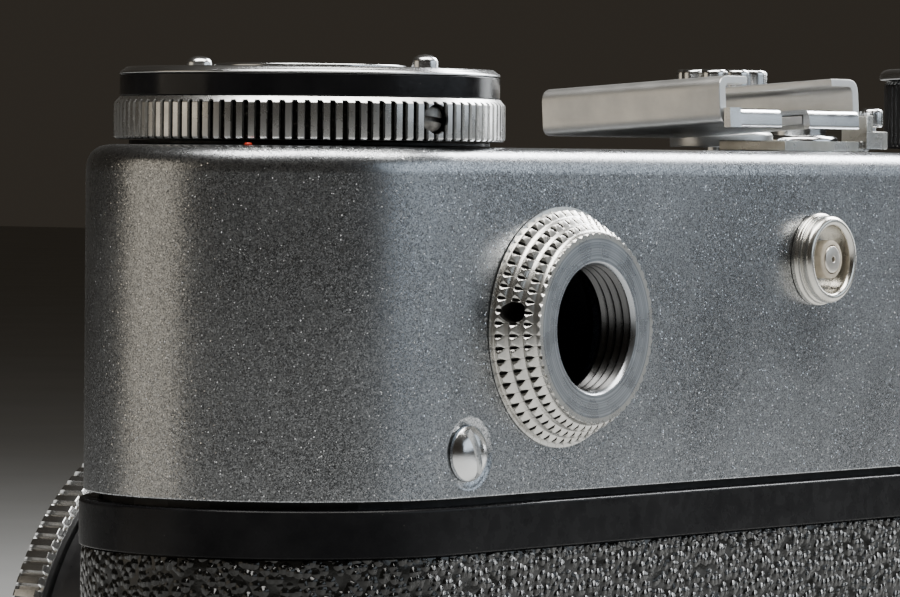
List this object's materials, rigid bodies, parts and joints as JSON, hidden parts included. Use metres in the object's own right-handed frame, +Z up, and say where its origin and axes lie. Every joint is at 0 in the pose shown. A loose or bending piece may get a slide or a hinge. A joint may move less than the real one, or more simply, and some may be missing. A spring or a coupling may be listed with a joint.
{
  "type": "film camera",
  "caption": "35 mm rangefinder film camera with satin metal top cover, knurled rewind dial, accessory shoe, removable back and focusing lens.",
  "frame": {"origin": "centre of the bounding box on the plane of the base, where the camera stands", "axes": "+X along the body towards the rewind dial end, -Y the way the lens looks, +Z up"},
  "size_m": [0.1428, 0.079, 0.0859],
  "materials": {
    "satin_metal": "satin",
    "bright_chrome": "polished",
    "nickel": "satin",
    "steel": "satin",
    "brass": "satin",
    "cast_alloy": "matte",
    "light_alloy": "satin",
    "black_alloy": "matte",
    "black_enamel": "gloss",
    "black_plastic": "matte",
    "leatherette": "satin",
    "shutter_cloth": "matte",
    "optical_glass": "polished",
    "tan_insulator": "satin",
    "red_paint": "gloss"
  },
  "bodies": {
    "body": {"top_cover": "satin_metal", "cover_screw_left": "bright_chrome", "cover_screw_right": "bright_chrome", "eyepiece_ring": "nickel", "viewfinder_tube": "black_alloy", "eyepiece_lens": "optical_glass", "finder_window": "optical_glass", "rangefinder_window": "optical_glass", "sync_socket_shell": "nickel", "sync_insulator": "tan_insulator", "sync_contact": "brass", "accessory_shoe": "bright_chrome", "shoe_spring": "bright_chrome", "shoe_foot": "nickel", "dial_collar": "black_plastic", "index_dot": "red_paint", "release_collar": "bright_chrome", "chassis": "cast_alloy", "front_plate": "black_alloy", "front_leatherette": "leatherette", "shutter_curtain": "shutter_cloth", "curtain_roller_left": "steel", "curtain_roller_right": "steel", "lens_mount_ring": "bright_chrome", "mount_barrel": "black_alloy"},
    "rewind_dial": {"rewind_dial_ring": "light_alloy", "dial_set_screw": "steel", "dial_black_ring": "black_alloy", "dial_rim": "bright_chrome", "dial_centre_cap": "bright_chrome", "dial_post_near": "bright_chrome", "dial_post_far": "bright_chrome", "rewind_shaft": "steel"},
    "wind": {"wind_knob": "black_alloy", "wind_knob_cap": "bright_chrome", "frame_counter_disc": "light_alloy", "wind_shaft": "steel", "wind_gear": "brass", "take_up_spool": "black_plastic"},
    "sprocket": {"sprocket_drum": "light_alloy", "sprocket_gear": "brass"},
    "speed_selector": {"speed_knob": "bright_chrome", "speed_dial": "light_alloy"},
    "release": {"release_button": "bright_chrome"},
    "clamp_screw": {"shoe_clamp_screw": "bright_chrome"},
    "back": {"back_shell": "black_enamel", "back_leatherette": "leatherette", "base_plate": "satin_metal", "tripod_bush": "nickel", "pressure_spring": "steel"},
    "film_pressure_plate": {"pressure_plate": "black_alloy"},
    "key_left": {"lock_key_left": "nickel"},
    "key_right": {"lock_key_right": "nickel"},
    "focus": {"focus_ring": "light_alloy"},
    "barrel": {"lens_barrel": "black_alloy", "serrated_front_ring": "light_alloy", "front_element": "optical_glass", "rear_element": "optical_glass", "iris_diaphragm": "black_alloy"},
    "aperture": {"aperture_ring": "light_alloy"}
  },
  "joints": [
    {"name": "rewind_turn", "type": "hinge", "parent": "body", "child": "rewind_dial", "pos_m": [0.0529, 0.01995, 0.08], "axis": [0, 0, 1], "continuous": true},
    {"name": "wind_turn", "type": "hinge", "parent": "body", "child": "wind", "pos_m": [-0.0525, 0.01995, 0.08], "axis": [0, 0, 1], "continuous": true},
    {"name": "sprocket_turn", "type": "hinge", "parent": "body", "child": "sprocket", "pos_m": [-0.0355, 0.02295, 0.03], "axis": [0, 0, 1], "continuous": true},
    {"name": "speed_turn", "type": "hinge", "parent": "body", "child": "speed_selector", "pos_m": [-0.0155, 0.01145, 0.08], "axis": [0, 0, 1], "range_deg": [0, 300]},
    {"name": "release_press", "type": "slide", "parent": "body", "child": "release", "axis": [0, 0, -1], "range_m": [0, 0.002], "stiffness_N_per_m": 300},
    {"name": "clamp_turn", "type": "hinge", "parent": "body", "child": "clamp_screw", "pos_m": [-0.0157, 0.02725, 0.0811], "axis": [0, 0, 1], "continuous": true},
    {"name": "back_slide", "type": "slide", "parent": "body", "child": "back", "axis": [0, 0, -1], "range_m": [0, 0.06]},
    {"name": "pressure_plate_press", "type": "slide", "parent": "back", "child": "film_pressure_plate", "axis": [0, 1, 0], "range_m": [0, 0.0012], "stiffness_N_per_m": 400},
    {"name": "lock_left_turn", "type": "hinge", "parent": "back", "child": "key_left", "pos_m": [0.04, 0.01995, 0.002], "axis": [0, 0, -1], "range_deg": [0, 180]},
    {"name": "lock_right_turn", "type": "hinge", "parent": "back", "child": "key_right", "pos_m": [-0.04, 0.01995, 0.002], "axis": [0, 0, -1], "range_deg": [0, 180]},
    {"name": "focus_turn", "type": "hinge", "parent": "body", "child": "focus", "pos_m": [0, -0.01, 0.029], "axis": [0, -1, 0], "range_deg": [0, 120]},
    {"name": "barrel_extend", "type": "slide", "parent": "body", "child": "barrel", "axis": [0, -1, 0], "range_m": [0, 0.0032]},
    {"name": "aperture_turn", "type": "hinge", "parent": "barrel", "child": "aperture", "pos_m": [0, -0.03, 0.029], "axis": [0, -1, 0], "range_deg": [0, 75]}
  ],
  "couplings": [
    {"joint": "sprocket_turn", "follows": "wind_turn", "ratio": -1},
    {"joint": "barrel_extend", "follows": "focus_turn", "m_per_rad": 0.0015}
  ]
}
